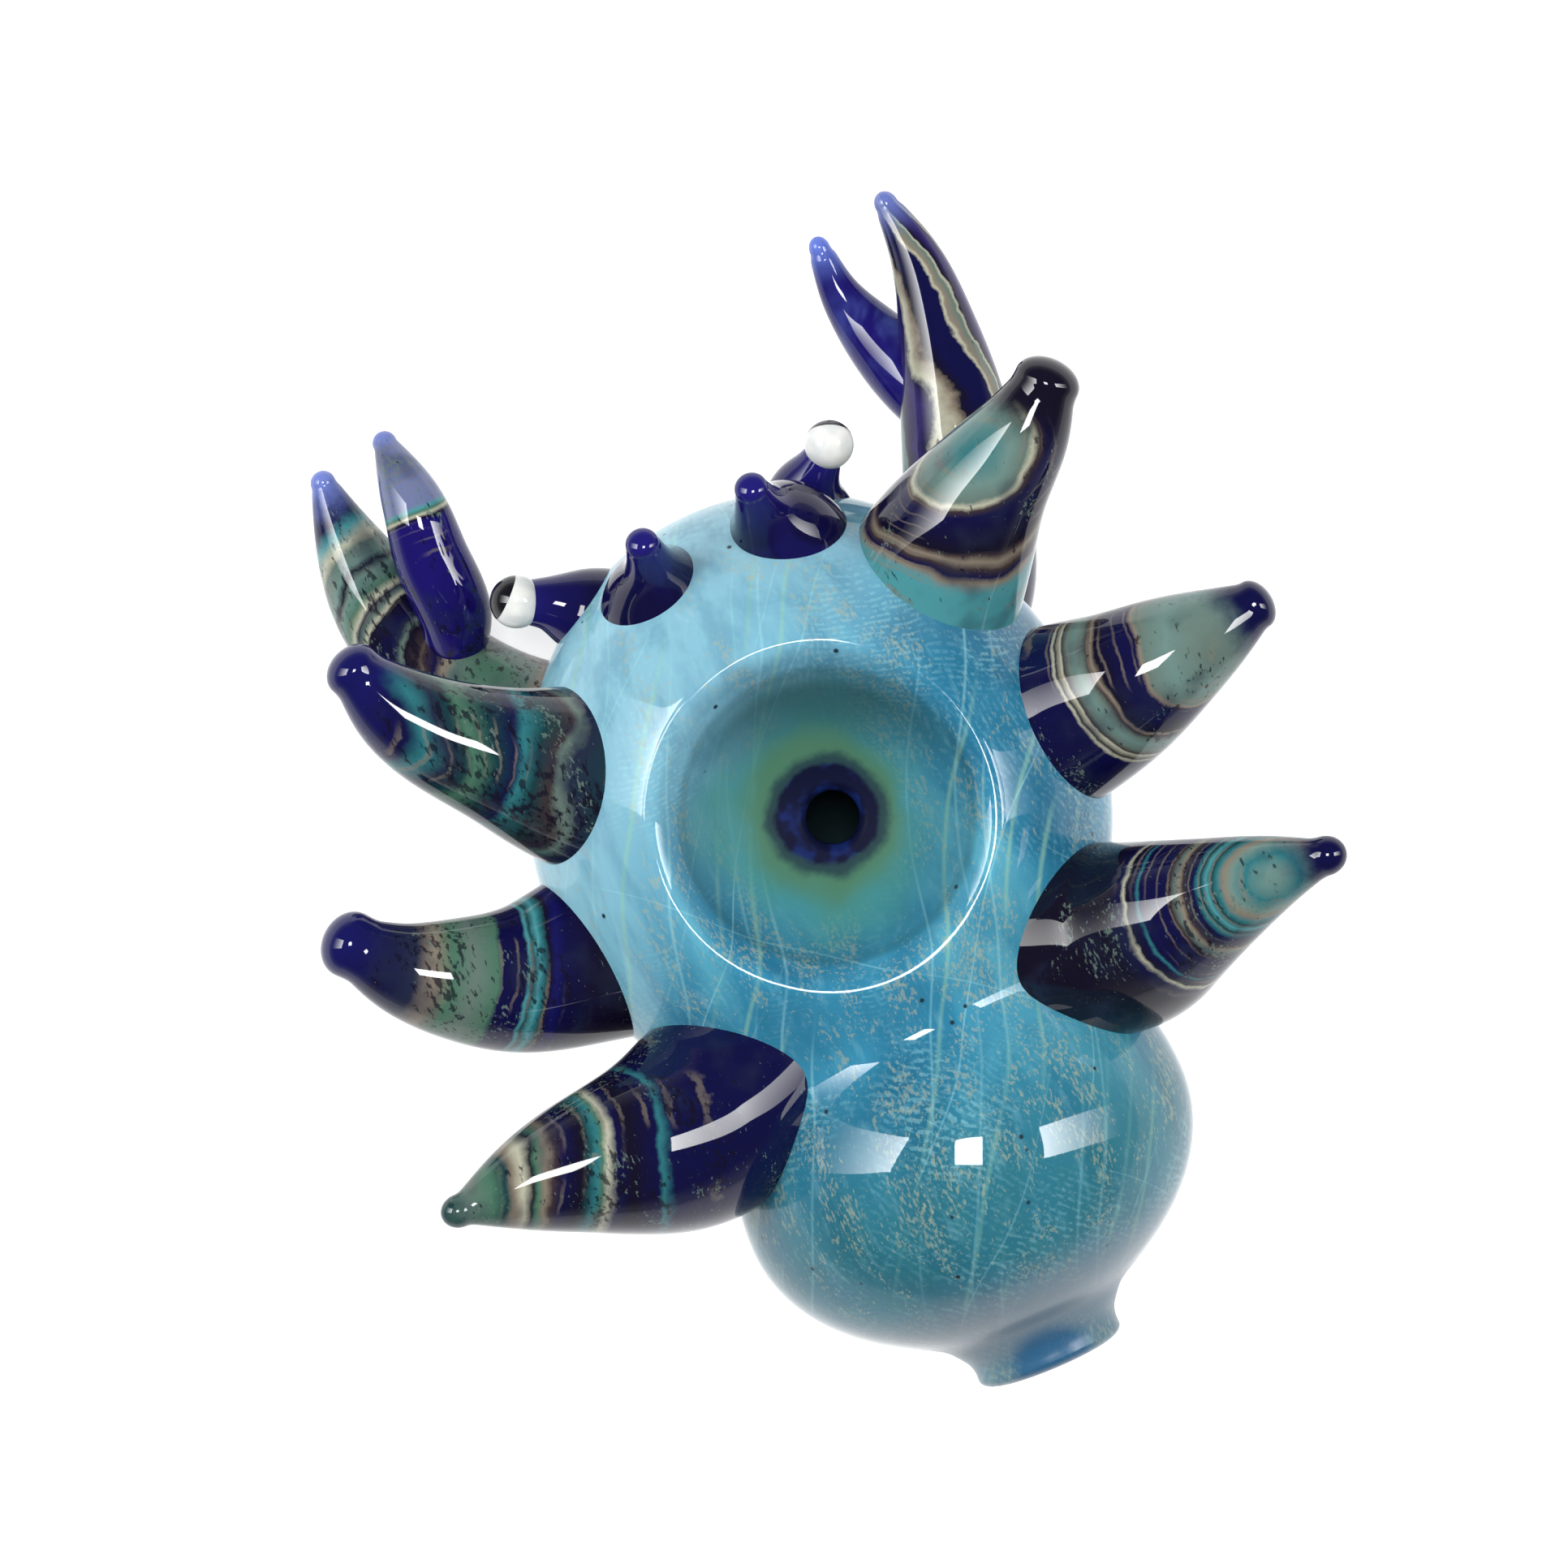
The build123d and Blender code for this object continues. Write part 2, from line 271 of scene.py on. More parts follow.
def makeWorld():
    # a dim room overhead that brightens to a pale surround near the table
    world = bpy.data.worlds.new("studio")
    world.use_nodes = True
    tree = world.node_tree
    up = axesOf(tree, addNode(tree, "ShaderNodeTexCoord").outputs["Object"])[2]
    background = tree.nodes["Background"]
    tree.links.new(rangeOf(tree, up, 0.0, 0.35, 0.62, 0.1), background.inputs["Strength"])
    background.inputs["Color"].default_value = (0.95, 0.97, 1.0, 1)
    bpy.context.scene.world = world


makeCamera()
makeFloor()
makeWorld()
bpy.context.scene.view_settings.view_transform = "Standard"
# the boxes stand round the table: left, right and behind as the camera sees it
lightTurn = math.radians(cameraSet["turn"])


def seenFrom(right, up, height):
    # a place given as the camera sees it, right and up on its picture
    return (right * math.cos(lightTurn) - up * math.sin(lightTurn),
            right * math.sin(lightTurn) + up * math.cos(lightTurn), height)


for name, place, size, power, fade in (
        ("boxLeft", (-0.78, 0.16, 0.52), (0.44, 0.8), 9, (0.0, 1.8)),
        ("boxRight", (0.78, 0.14, 0.52), (0.3, 0.8), 7.5, (0.0, 1.8)),
        ("boxOver", (0.0, 0.11, 1.25), (0.27, 0.27), 9, (1.0, 1.0))):
    makeLight(name, seenFrom(*place), (0, 0, 0.02), size, power, fade)
print("camera, floor and lights placed")


def makeGroup(name, **values):
    # an empty mask group: it takes a vector and the named values and gives one mask
    group = bpy.data.node_groups.new(name, "ShaderNodeTree")
    group.interface.new_socket("Vector", in_out="INPUT", socket_type="NodeSocketVector")
    for key, value in values.items():
        socket = group.interface.new_socket(key.capitalize(), in_out="INPUT", socket_type="NodeSocketFloat")
        socket.default_value = value
    group.interface.new_socket("Mask", in_out="OUTPUT", socket_type="NodeSocketFloat")
    start, end = group.nodes.new("NodeGroupInput").outputs, group.nodes.new("NodeGroupOutput")
    return group, start, start["Vector"], lambda mask: group.links.new(mask, end.inputs["Mask"])


def makeThreadsGroup():
    # drawn-out threads: lines of constant x, gently bent, some left out, each fading in and out
    group, start, place, give = makeGroup("glassThreads", spacing=0.0026, width=0.06, share=0.5)
    x, y, z = axesOf(group, place)
    bend = mathOf(group, "MULTIPLY_ADD", noiseOf(group, place, 32.0, 1.0), 0.009, x)
    lane = mathOf(group, "DIVIDE", bend, start["Spacing"])
    cell = mathOf(group, "FLOOR", lane)
    pick = addNode(group, "ShaderNodeTexWhiteNoise", {"W": cell}, noise_dimensions="1D").outputs["Color"]
    tints = addNode(group, "ShaderNodeSeparateColor", {0: pick}).outputs
    middle = mathOf(group, "MULTIPLY_ADD", tints[0], 0.6, 0.2)
    away = mathOf(group, "ABSOLUTE", mathOf(group, "SUBTRACT", mathOf(group, "FRACT", lane), middle))
    line = rangeOf(group, away, 0.0, start["Width"], 1.0, 0.0)
    chosen = mathOf(group, "LESS_THAN", tints[1], start["Share"])
    along = addNode(group, "ShaderNodeCombineXYZ", {0: timesOf(group, cell, 0.37), 1: y, 2: z}).outputs[0]
    stretch = rangeOf(group, noiseOf(group, along, 45.0, 1.0), 0.42, 0.62)
    give(timesOf(group, timesOf(group, line, chosen), stretch))
    return group


def makeSeedsGroup():
    # tiny dark seeds: round spots in a few of the cells of a Voronoi pattern
    group, start, place, give = makeGroup("glassSeeds", scale=400.0, size=0.16, share=0.1)
    cells = addNode(group, "ShaderNodeTexVoronoi", {"Vector": place, "Scale": start["Scale"]}).outputs
    pick = addNode(group, "ShaderNodeSeparateColor", {0: cells["Color"]}).outputs[0]
    chosen = mathOf(group, "LESS_THAN", pick, start["Share"])
    core = timesOf(group, start["Size"], 0.6)
    spot = addNode(group, "ShaderNodeMapRange", {
        0: cells["Distance"], 1: core, 2: start["Size"], 3: 1.0, 4: 0.0}).outputs[0]
    give(timesOf(group, spot, chosen))
    return group


def makeGrainGroup():
    # clouds of fine sandy dashes: a fine stretched noise, kept only inside wide soft patches
    group, start, place, give = makeGroup("glassGrain", scale=900.0, amount=0.5)
    fine = noiseOf(group, place, start["Scale"], 2.0, 0.6)
    patches = noiseOf(group, place, timesOf(group, start["Scale"], 0.055), 2.0, 0.6)
    inPatch = rangeOf(group, patches, 0.46, 0.68)
    level = mathOf(group, "SUBTRACT", 0.7, timesOf(group, inPatch, 0.19))
    over = timesOf(group, mathOf(group, "SUBTRACT", fine, level), 14.0)
    clipped = mathOf(group, "MINIMUM", mathOf(group, "MAXIMUM", over, 0.0), 1.0)
    give(timesOf(group, clipped, start["Amount"]))
    return group


def makeRowsGroup():
    # rows of tiny dashes like a fingerprint: close rings of distance, broken up by a fine noise
    group, start, place, give = makeGroup("glassRows", spacing=0.0005, amount=0.5)
    bent = mathOf(group, "MULTIPLY_ADD", noiseOf(group, place, 120.0), 0.003, distanceOf(group, place))
    part = mathOf(group, "FRACT", mathOf(group, "DIVIDE", bent, start["Spacing"]))
    wave = mathOf(group, "ABSOLUTE", mathOf(group, "SUBTRACT", part, 0.5))
    dashes = rangeOf(group, noiseOf(group, place, 1700.0, 1.0), 0.44, 0.58)
    here = rangeOf(group, noiseOf(group, place, 60.0), 0.5, 0.66)
    mask = timesOf(group, timesOf(group, rangeOf(group, wave, 0.3, 0.16), dashes), here)
    give(timesOf(group, mask, start["Amount"]))
    return group


threadsGroup, seedsGroup, grainGroup, rowsGroup = (
    makeThreadsGroup(), makeSeedsGroup(), makeGrainGroup(), makeRowsGroup())


def groupMask(tree, group, vector, **values):
    node = addNode(tree, "ShaderNodeGroup", None, node_tree=group)
    tree.links.new(vector, node.inputs["Vector"])
    for key, value in values.items():
        node.inputs[key.capitalize()].default_value = value
    return node.outputs["Mask"]


def startGlass(name, roughness=0.03, gloss=0.5):
    # polished, nearly opaque glass
    material = bpy.data.materials.new(name)
    material.use_nodes = True
    tree = material.node_tree
    for key, value in (("Roughness", roughness), ("IOR", 1.38), ("Specular IOR Level", gloss)):
        tree.nodes["Principled BSDF"].inputs[key].default_value = value
    return material, tree, addNode(tree, "ShaderNodeTexCoord").outputs["Object"]


def endGlass(material, place, colour, depth=0.00004, scale=90.0, roughness=None):
    # the finished colour, and the faint waviness that flame working leaves in the surface
    tree = material.node_tree
    inputs = tree.nodes["Principled BSDF"].inputs
    tree.links.new(colour, inputs["Base Color"])
    wave = addNode(tree, "ShaderNodeBump", {
        "Height": noiseOf(tree, place, scale, 1.0), "Strength": 1.0, "Distance": depth})
    tree.links.new(wave.outputs[0], inputs["Normal"])
    if roughness is not None:
        tree.links.new(roughness, inputs["Roughness"])
    return material


bodyColours = dict(deep=(0.012, 0.098, 0.175), sky=(0.026, 0.165, 0.265), pale=(0.066, 0.26, 0.35),
                   front=(0.2, 0.39, 0.475), teal=(0.012, 0.086, 0.121), tealPale=(0.026, 0.139, 0.177),
                   sand=(0.26, 0.29, 0.2), yellowThread=(0.2, 0.4, 0.29), paleThread=(0.22, 0.46, 0.5),
                   seed=(0.01, 0.02, 0.03), haze=(0.1, 0.135, 0.175), blue=(0.008, 0.065, 0.15))


def bodyColour(tree, place):
    # sky blue flows that pale towards the front and turn teal in the bulb, with threads,
    # sandy dashes and seeds
    c = bodyColours
    flows = noiseOf(tree, stretchOf(tree, place, (1.0, 0.3, 1.0), turn=0.4), 70.0, 3.0, 0.55, 0.5)
    colour = rampOf(tree, flows, [(0.36, c["deep"]), (0.5, c["sky"]), (0.66, c["pale"])])
    rearColour = rampOf(tree, flows, [(0.36, c["teal"]), (0.66, c["tealPale"])])
    across, along = axesOf(tree, place)[:2]
    colour = mixOf(tree, rangeOf(tree, along, -0.02, -0.04), colour, rearColour)
    slant = mathOf(tree, "MULTIPLY_ADD", across, -0.55, along)
    colour = mixOf(tree, rangeOf(tree, slant, -0.002, 0.026, 0.0, 0.82), colour, c["front"])
    flank = rangeOf(tree, mathOf(tree, "MULTIPLY_ADD", along, -0.3, across), -0.014, -0.027, 0.0, 0.6)
    colour = mixOf(tree, flank, colour, c["front"])
    calm = rangeOf(tree, along, -0.018, -0.036, 1.0, 0.45)
    for turn, spacing, width, share, tint, strength in (
            (0.5, 0.0031, 0.12, 0.5, "yellowThread", 0.5), (0.36, 0.0024, 0.1, 0.4, "paleThread", 0.4),
            (0.66, 0.004, 0.035, 0.5, "paleThread", 0.5), (-0.9, 0.012, 0.012, 0.5, "paleThread", 0.35)):
        threads = groupMask(tree, threadsGroup, stretchOf(tree, place, (1, 1, 1), turn=turn),
                            spacing=spacing, width=width, share=share)
        colour = mixOf(tree, timesOf(tree, threads, timesOf(tree, calm, strength)), colour, c[tint])
    for turn, scale, low, high, tint, strength in (
            (0.45, 300.0, 0.42, 0.66, "deep", 0.3), (0.55, 900.0, 0.52, 0.72, "paleThread", 0.12)):
        drawn = stretchOf(tree, place, (1.0, 0.22, 1.0), turn=turn)
        brushed = noiseOf(tree, drawn, scale, 3.0, 0.6)
        colour = mixOf(tree, rangeOf(tree, brushed, low, high, 0.0, strength), colour, c[tint])
    for x, y, spacing, amount in ((-0.012, -0.052, 0.00055, 0.26), (0.05, 0.01, 0.00065, 0.2)):
        rows = groupMask(tree, rowsGroup, stretchOf(tree, place, (1, 1, 0.5), place=(-x, -y, 0)),
                         spacing=spacing, amount=amount)
        colour = mixOf(tree, rows, colour, c["paleThread"])
    for turn, scale, amount in ((0.9, 2500.0, 0.4), (-0.45, 3100.0, 0.46), (1.5, 3500.0, 0.42)):
        slanted = stretchOf(tree, place, (1.0, 0.4, 1.0), turn=turn)
        grain = groupMask(tree, grainGroup, slanted, scale=scale, amount=amount)
        colour = mixOf(tree, grain, colour, c["sand"])
    seeds = groupMask(tree, seedsGroup, place, scale=560.0, size=0.17, share=0.09)
    return mixOf(tree, seeds, colour, c["seed"])


def makeBodyGlass():
    material, tree, place = startGlass("turquoiseGlass")
    colour = bodyColour(tree, place)
    along = axesOf(tree, place)[1]
    # the casing thickens to a haze where the bulb is drawn in, then clears to blue at the lip
    clear = rangeOf(tree, along, -0.058, -0.053, 0.45, 1.0)
    haze = timesOf(tree, timesOf(tree, rangeOf(tree, along, -0.045, -0.051), clear), 0.85)
    colour = mixOf(tree, haze, colour, bodyColours["haze"])
    roughness = rangeOf(tree, along, -0.05, -0.0535, 0.03, 0.32)
    lip = distanceOf(tree, place, (0.0, -0.058, 0.0285))
    colour = mixOf(tree, rangeOf(tree, lip, 0.0052, 0.0032, 0.0, 0.8), colour, bodyColours["blue"])
    return endGlass(material, place, colour, roughness=roughness)


# shade is painted shade inside the dish; the other colours are the bowl glass's own
bowlColours = dict(navy=(0.003, 0.004, 0.018), cobalt=(0.005, 0.012, 0.07), dark=(0.014, 0.035, 0.04),
                   olive=(0.046, 0.115, 0.062), green=(0.034, 0.15, 0.135), shade=(0.016, 0.055, 0.06))


def makeBowlGlass(name, roughness, gloss):
    # body colour that turns sea green, olive, nearly black and navy towards the draw hole
    material, tree, place = startGlass(name, roughness, gloss)
    c = bowlColours
    colour = bodyColour(tree, place)
    flat = vectorOf(tree, "MULTIPLY", place, (1, 1, 0))
    away = distanceOf(tree, flat, (0.4 * mm, 0.1 * mm, 0))
    broad = mathOf(tree, "MULTIPLY_ADD", noiseOf(tree, place, 75.0), 0.012, -0.006)
    wobble = mathOf(tree, "MULTIPLY_ADD", noiseOf(tree, place, 210.0, 4.0, 0.6), 0.0026, -0.0013)
    uneven = sumOf(tree, away, wobble)
    # painted shade: the front wall is darkened as if turned away from the light, and painted shade lies
    # soft over the foot of the wall; more painted shade darkens the dish just inside the rim, with a thin
    # painted shadow ring in the crease at the rim's edge
    x, y = axesOf(tree, place)[:2]
    front = rangeOf(tree, mathOf(tree, "MULTIPLY_ADD", x, 0.35, y), 0.003, 0.0125)
    wall = timesOf(tree, front, rangeOf(tree, away, 0.0143, 0.012, 0.0, 0.75))
    edge = timesOf(tree, rangeOf(tree, away, 0.0132, 0.0138), rangeOf(tree, away, 0.0146, 0.014, 0.0, 0.3))
    tinted = sumOf(tree, uneven, broad)
    spread = mathOf(tree, "MULTIPLY_ADD", broad, 0.4, uneven)
    veins = rangeOf(tree, noiseOf(tree, place, 420.0), 0.48, 0.66)
    # of these, the shade colour is painted shade; the green, olive, dark and navy rings are the glass's own
    # colours
    for mask, tint in ((rangeOf(tree, away, 0.0148, 0.013, 0.0, 0.35), c["shade"]),
                       (edge, c["shade"]),
                       (rangeOf(tree, tinted, 0.0135, 0.007, 0.0, 0.8), c["green"]),
                       (wall, c["shade"]),
                       (rangeOf(tree, spread, 0.0092, 0.0064, 0.0, 0.85), c["olive"]),
                       (rangeOf(tree, uneven, 0.0066, 0.0054), c["dark"]),
                       (rangeOf(tree, uneven, 0.0053, 0.0046), mixOf(tree, veins, c["navy"], c["cobalt"]))):
        colour = mixOf(tree, mask, colour, tint)
    return endGlass(material, place, colour)


def makeInnerGlass():
    # the inside of the hollow body, dulled by the haze of the casing; its nearly black colour is painted
    # shade, standing for the dark inside
    material, tree, place = startGlass("innerShadeGlass", 0.7, 0.1)
    drift = rangeOf(tree, noiseOf(tree, place, 90.0), 0.35, 0.7)
    colour = mixOf(tree, drift, (0.004, 0.012, 0.016), (0.01, 0.03, 0.035))
    return endGlass(material, place, colour, depth=0.0)


# pale is a painted glow of light, used for the thin tips of the claws and fingers
hornColours = dict(
    navy=(0.003, 0.003, 0.032), ink=(0.004, 0.003, 0.01), cobalt=(0.005, 0.005, 0.062),
    teal=(0.018, 0.11, 0.125), deep=(0.005, 0.027, 0.032), sea=(0.045, 0.185, 0.205),
    green=(0.042, 0.105, 0.07), grey=(0.08, 0.115, 0.1), tan=(0.15, 0.125, 0.095),
    cream=(0.3, 0.3, 0.23), mist=(0.095, 0.16, 0.145), brown=(0.028, 0.019, 0.021),
    slate=(0.01, 0.014, 0.032), finger=(0.007, 0.004, 0.085), lilac=(0.1, 0.12, 0.22),
    violet=(0.02, 0.012, 0.085), pale=(0.12, 0.16, 0.42))


def bandStops(bands):
    # "place colour, place colour", with places in per cent, as stops of a colour ramp
    pairs = [band.split() for band in bands.split(",")]
    return [(float(place) / 100, hornColours[tint]) for place, tint in pairs]


def alongPiece(tree):
    # how far round and how far along the piece, from its own map
    return axesOf(tree, addNode(tree, "ShaderNodeUVMap", None, uv_map="along").outputs[0])


def makeBandedGlass(name, heart, span, bend, tipFrom, tipColour, bands):
    # agate bands round a heart: the distance from it, run through the leg's own row of colours
    material, tree, place = startGlass(name)
    c = hornColours
    swirl = addNode(tree, "ShaderNodeTexNoise", {
        "Vector": place, "Scale": 75.0, "Detail": 2.0, "Roughness": 0.35}).outputs["Color"]
    push = vectorOf(tree, "SCALE", vectorOf(tree, "SUBTRACT", swirl, (0.5, 0.5, 0.5)), Scale=bend * mm)
    bent = vectorOf(tree, "ADD", place, push)
    far = distanceOf(tree, bent, tuple(np.array(heart) * mm + (0, 0, restLevel)))
    streaks = noiseOf(tree, place, 520.0, 3.0, 0.6)
    field = sumOf(tree, rangeOf(tree, far, span[0] * mm, span[1] * mm),
                  mathOf(tree, "MULTIPLY_ADD", streaks, 0.05, -0.025))
    colour = rampOf(tree, field, bandStops(bands))
    fine = rangeOf(tree, mathOf(tree, "SINE", timesOf(tree, field, 70.0)), 0.7, 1.0)
    here = rangeOf(tree, noiseOf(tree, place, 130.0, 1.0), 0.5, 0.64, 0.0, 0.45)
    colour = mixOf(tree, timesOf(tree, fine, here), colour, c["tan"])
    shade = rangeOf(tree, noiseOf(tree, place, 210.0), 0.5, 0.72, 0.0, 0.5)
    colour = mixOf(tree, shade, colour, c["slate"])
    for turn, scale, tint in ((0.6, 1300.0, "ink"), (1.3, 1900.0, "ink"), (0.2, 3200.0, "grey")):
        slanted = stretchOf(tree, place, (1.0, 0.4, 1.0), turn=turn)
        colour = mixOf(tree, groupMask(tree, grainGroup, slanted, scale=scale, amount=0.8), colour, c[tint])
    # towards the tip the colour turns to tipColour: the tip's own glass on the legs, and where it is pale,
    # on the claws, a painted glow of light through the thin tip
    reach = mathOf(tree, "MULTIPLY_ADD", streaks, 0.08, alongPiece(tree)[1])
    colour = mixOf(tree, rangeOf(tree, reach, tipFrom, tipFrom + 0.14), colour, c[tipColour])
    return endGlass(material, place, colour, 0.00005, 140.0)


clawStripes = dict(
    turns=1.5, twist=0.5,
    bands="0 navy, 11 navy, 13 cream, 15 tan, 21 grey, 23 cream, 24.5 ink, 34 violet, 44 navy, 46 cream, "
          "47.5 ink, 50 cream, 52 navy, 62 navy, 65 teal, 70 grey, 72 ink, 80 violet, 84 navy, 87 cream, "
          "92 tan, 95 ink, 100 navy")
# the pale tip colour of the left claw and its finger is a painted glow of light through the thin tip
clawBands = dict(
    heart=(-25, 26, -6), span=(26, 0), bend=7.0, tipFrom=0.9, tipColour="pale",
    bands="0 navy, 5 navy, 9 sea, 14 cream, 17 grey, 24 mist, 27 ink, 30 mist, 38 green, 43 cream, "
          "46 slate, 50 grey, 53 cream, 55 ink, 66 navy, 70 slate, 73 grey, 75 ink, 84 brown, 88 navy, "
          "91 tan, 94 grey, 100 green")
fingerBands = dict(
    heart=(-25.8, 49.5, -5), span=(11, 0), bend=3.0, tipFrom=0.92, tipColour="pale",
    bands="0 finger, 28 finger, 33 ink, 36.5 cream, 40 green, 44 sea, 49 lilac, 100 lilac")


def makeStripedGlass(name, turns, twist, bands):
    # long stripes: the angle round the horn plus a twist along it, bent by noise, through a ramp
    material, tree, place = startGlass(name)
    around, along = alongPiece(tree)[:2]
    broad = mathOf(tree, "MULTIPLY_ADD", noiseOf(tree, place, 45.0, 1.0, 0.4, 0.4), 0.6, -0.3)
    fine = mathOf(tree, "MULTIPLY_ADD", noiseOf(tree, place, 420.0, 3.0, 0.6), 0.1, -0.05)
    bend = sumOf(tree, sumOf(tree, broad, fine), timesOf(tree, along, twist))
    stripes = mathOf(tree, "FRACT", sumOf(tree, timesOf(tree, around, turns), bend))
    colour = rampOf(tree, stripes, bandStops(bands))
    dashes = groupMask(tree, grainGroup, stretchOf(tree, place, (1.0, 0.4, 1.0)), scale=900.0, amount=1.0)
    colour = mixOf(tree, dashes, colour, hornColours["ink"])
    # painted glow of light through the thin tip: the last stretch of the claw turns pale
    tip = timesOf(tree, rangeOf(tree, along, 0.88, 1.0), 0.8)
    colour = mixOf(tree, tip, colour, hornColours["pale"])
    return endGlass(material, place, colour, 0.00004, 140.0)


def makeCobaltGlass(name, deep, glowAndVeils, fromAlong, toAlong):
    # deep cobalt with a painted glow of light through the thin glass that brightens it towards the tip, and
    # faint veils inside in the same bright colour
    material, tree, place = startGlass(name)
    veils = noiseOf(tree, stretchOf(tree, place, (1.0, 0.5, 1.0)), 180.0, 3.0, 0.6, 1.0)
    reach = mathOf(tree, "MULTIPLY_ADD", veils, 0.2, alongPiece(tree)[1])
    colour = mixOf(tree, rangeOf(tree, reach, fromAlong, toAlong), deep, glowAndVeils)
    colour = mixOf(tree, rangeOf(tree, veils, 0.5, 0.8, 0.0, 0.3), colour, glowAndVeils)
    return endGlass(material, place, colour, 0.00003, 150.0)


def makePlainGlass(name, colour, shade, roughness):
    # opaque glass whose tone drifts a little
    material, tree, place = startGlass(name, roughness)
    drift = rangeOf(tree, noiseOf(tree, place, 500.0, 3.0), 0.35, 0.7)
    return endGlass(material, place, mixOf(tree, drift, colour, shade), 0.00002, 300.0)


bodyGlass = makeBodyGlass()
bowlGlass = makeBowlGlass("bowlGlass", 0.03, 0.5)
bowlDull = makeBowlGlass("bowlDull", 0.45, 0.06)      # the inside, dulled by use
innerShadeGlass = makeInnerGlass()
clawGlass = dict(left=makeBandedGlass("bandedClaw", **clawBands),
                 right=makeStripedGlass("stripedClaw", **clawStripes))
fingerGlass = dict(left=makeBandedGlass("bandedFinger", **fingerBands), right=makeCobaltGlass(
    "fingerGlass", hornColours["finger"], (0.1, 0.15, 0.48), 0.84, 1.12))
violetGlass = makeCobaltGlass("violetGlass", (0.003, 0.0025, 0.026), (0.01, 0.008, 0.11), 0.5, 1.2)
opalGlass = makePlainGlass("opalGlass", (0.6, 0.6, 0.57), (0.48, 0.5, 0.5), 0.08)
blackGlass = makePlainGlass("blackGlass", (0.004, 0.004, 0.006), (0.01, 0.01, 0.014), 0.03)
print("glass mixed")

bodyShape = dict(
    chamberWidth=28.6, noseLength=32.7, rearLength=28.7,      # half width and both half lengths
    bulbWidth=23.0, bulbCentre=-36.5, bulbFront=23.0, bulbRear=17.6,
    neckWidth=7.3, neckFlare=3.5, blend=8, waist=-22.0, neckJoint=-52.5, lipJoint=-56.2, mouth=-58.2,
    chamberFlatness=0.785, bulbFlatness=0.939, wall=3.0, flatUnder=-21.0,
    lipWidth=7.5, bore=3.75, ring=4.7, hole=2.6, holeX=0.9, holeY=-0.3,
    dishEdge=17.5, dishOpening=16.4, lipEdge=15.0, dishDepth=9.9, crestSoftness=1.5)
s = bodyShape
# a ring starts and ends underneath, where its seam is out of sight
ringCount = 224
dishAngles = np.linspace(0, 2 * np.pi, ringCount, endpoint=False)
ringAngles = dishAngles + np.pi / 2


def halfWidth(y):
    # soft maximum (8th-power mean) of the chamber oval, the bulb oval and the neck
    front = np.clip(y / s["noseLength"], -1, 1)
    back = np.clip(y / s["rearLength"], -1, 1)
    chamber = s["chamberWidth"] * np.sqrt(np.clip(1 - np.where(y > 0, front, back) ** 2, 0, 1))
    offset = y - s["bulbCentre"]
    reach = np.where(offset > 0, s["bulbFront"], s["bulbRear"])
    bulb = s["bulbWidth"] * np.sqrt(np.clip(1 - (offset / reach) ** 2, 0, 1))
    neck = (s["neckWidth"] + s["neckFlare"] * smoothStep(-56.8, -50.5, y)) * smoothStep(-40.0, -50.0, y)
    p = s["blend"]
    return (chamber ** p + bulb ** p + neck ** p) ** (1 / p)


def halfHeight(y):
    # the same outline, pressed flatter over the chamber than over the bulb and neck
    flat = s["chamberFlatness"] + (s["bulbFlatness"] - s["chamberFlatness"]) * smoothStep(-13.0, -33.0, y)
    return halfWidth(y) * (flat + (1 - s["bulbFlatness"]) * smoothStep(-45.0, -55.0, y))


def topOfBody(x, y):
    inside = np.clip(1 - (x / np.maximum(halfWidth(y), 1e-6)) ** 2, 0, 1)
    return halfHeight(y) * np.sqrt(inside)


def dishProfile(r):
    # pressed bowl: a round floor, r squared, that steepens to the wall, r to the fifth
    return s["dishDepth"] + 1.8 * (r / 8.6) ** 2 + 3.2 * (r / 15.8) ** 5


def softLower(a, b):
    # soft minimum of two heights
    k = s["crestSoftness"]
    low = np.minimum(a, b)
    return low - k * np.log(np.exp(-(a - low) / k) + np.exp(-(b - low) / k))


def bodyPoint(angle, y):
    # oval ring at y; on top, the ring follows the shoulder down towards the pressed bowl
    x = halfWidth(y) * np.cos(angle)
    z = -halfHeight(y) * np.sin(angle)
    upper = smoothStep(4.0, 9.0, z)
    z = z * (1 - upper) + softLower(z, dishProfile(np.hypot(x, y))) * upper
    return np.stack([x, y + 0 * x, np.maximum(z, s["flatUnder"])], axis=-1)


def surfaceNormals(shape, u, v, step=1e-3):
    # cross product of the shape's own central differences, so that pieces that meet share them
    alongU = shape(u + step, v) - shape(u - step, v)
    alongV = shape(u, v + step) - shape(u, v - step)
    return unit(np.cross(alongU, alongV))


def skinOf(shape, rows, turn, step=1e-3):
    # points and normals of a shape over its rows and the angles of its rings
    rows, turn = np.meshgrid(rows, turn, indexing="ij")
    points, normals = shape(turn, rows), surfaceNormals(shape, turn, rows, step)
    normals[points[..., 2] <= s["flatUnder"] + 0.01] = (0, 0, -1)
    return points, normals


def toRow(points):
    # body measures are in millimetres from its widest level
    return points * mm + np.array([0, 0, restLevel])


